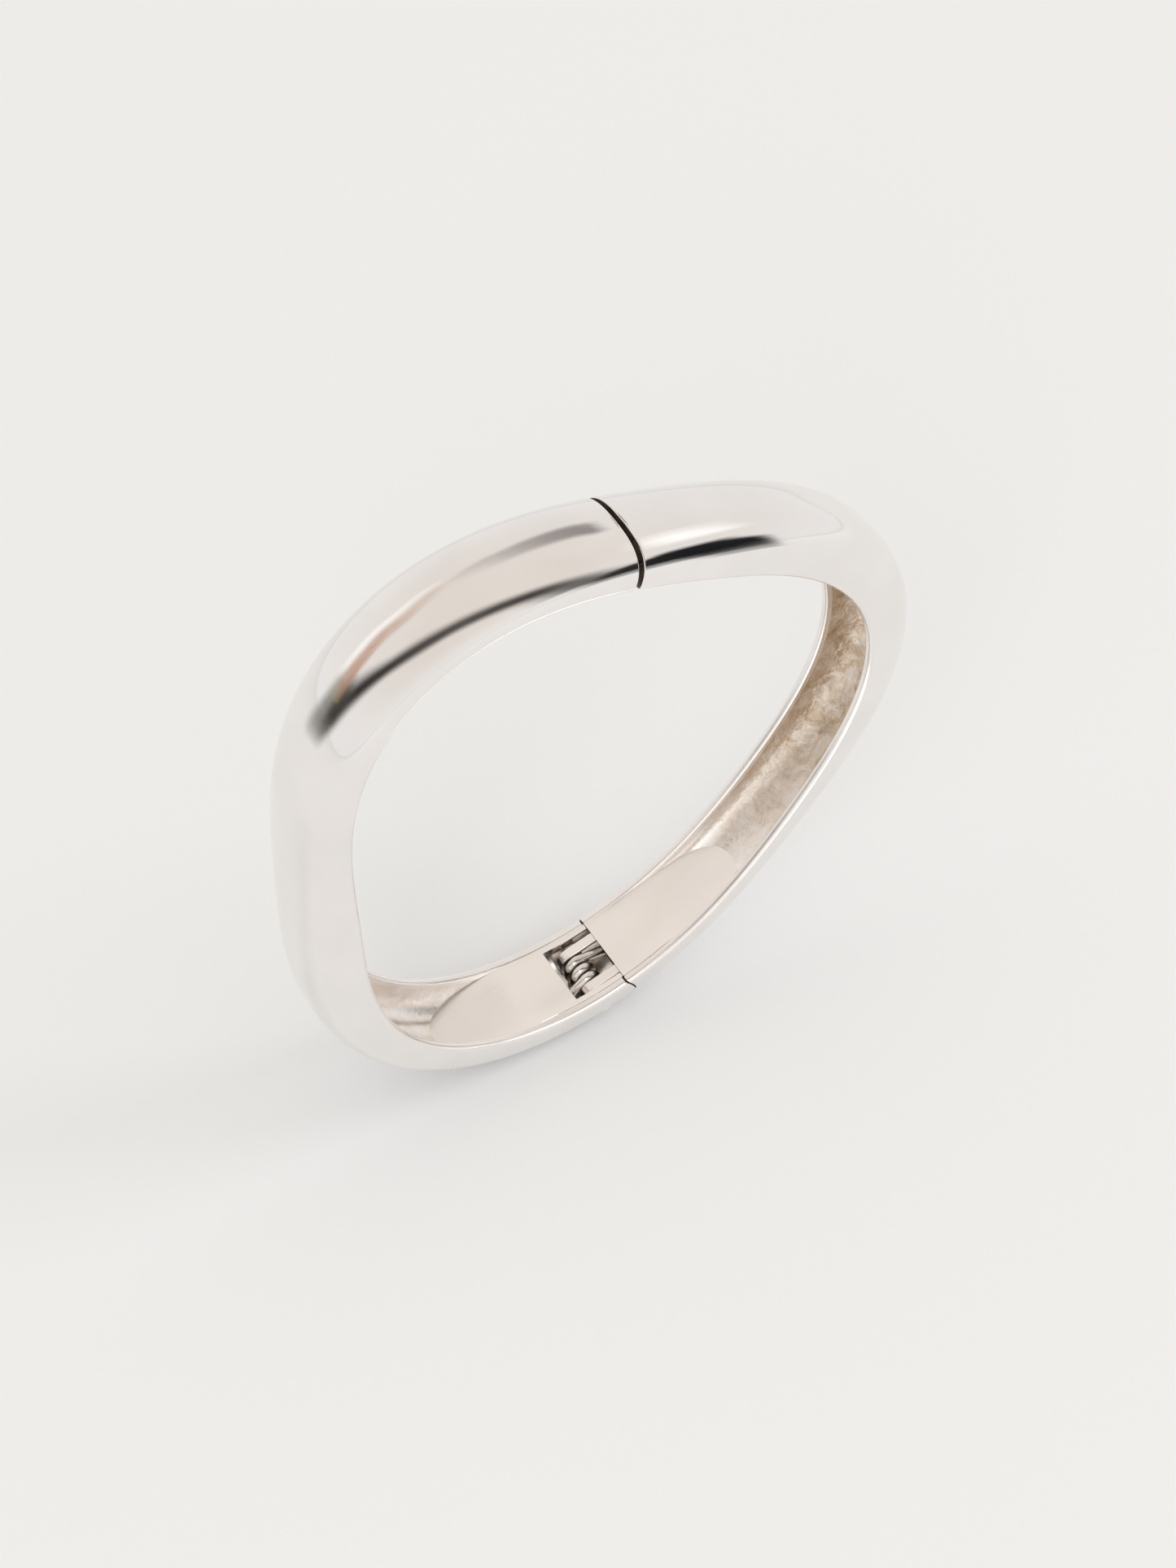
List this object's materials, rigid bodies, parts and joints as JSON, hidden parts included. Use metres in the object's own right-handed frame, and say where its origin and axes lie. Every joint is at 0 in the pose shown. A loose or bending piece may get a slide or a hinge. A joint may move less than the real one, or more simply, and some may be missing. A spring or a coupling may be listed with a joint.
{
  "type": "hinged bangle bracelet",
  "caption": "Hinged bangle of two hollow-backed domed halves in a soft three-sided ring, held shut across a narrow gap by a torsion spring on its hinge pin.",
  "frame": {"origin": "middle of the wrist opening, halfway across the band, on the line from the hinge joint up to the clasp gap", "axes": "+Z from the hinge up to the clasp gap, +Y along the wrist, +X to the half that swings; shown standing on its hinge"},
  "size_m": [0.0636, 0.0108, 0.0646],
  "materials": {
    "polished_plate": "mirror polished plating over a cast base, rough as cast on the hidden inside",
    "hinge_metal": "polished",
    "spring_steel": "bright drawn wire"
  },
  "bodies": {
    "left_half": {"left_half_shell": "polished_plate", "left_hinge_plate": "hinge_metal", "left_end_cap": "polished_plate", "hinge_pin": "hinge_metal", "torsion_spring": "spring_steel"},
    "right_half": {"right_half_shell": "polished_plate", "right_hinge_leaf": "hinge_metal", "right_end_cap": "polished_plate"}
  },
  "joints": [
    {"name": "spring_hinge", "type": "hinge", "parent": "left_half", "child": "right_half", "pos_m": [-0.00218, 0, -0.03069], "axis": [0, 1, 0], "range_deg": [0, 28], "stiffness_Nm_per_rad": 0.24, "springref_deg": -17.19, "deforming": ["torsion_spring"]}
  ]
}
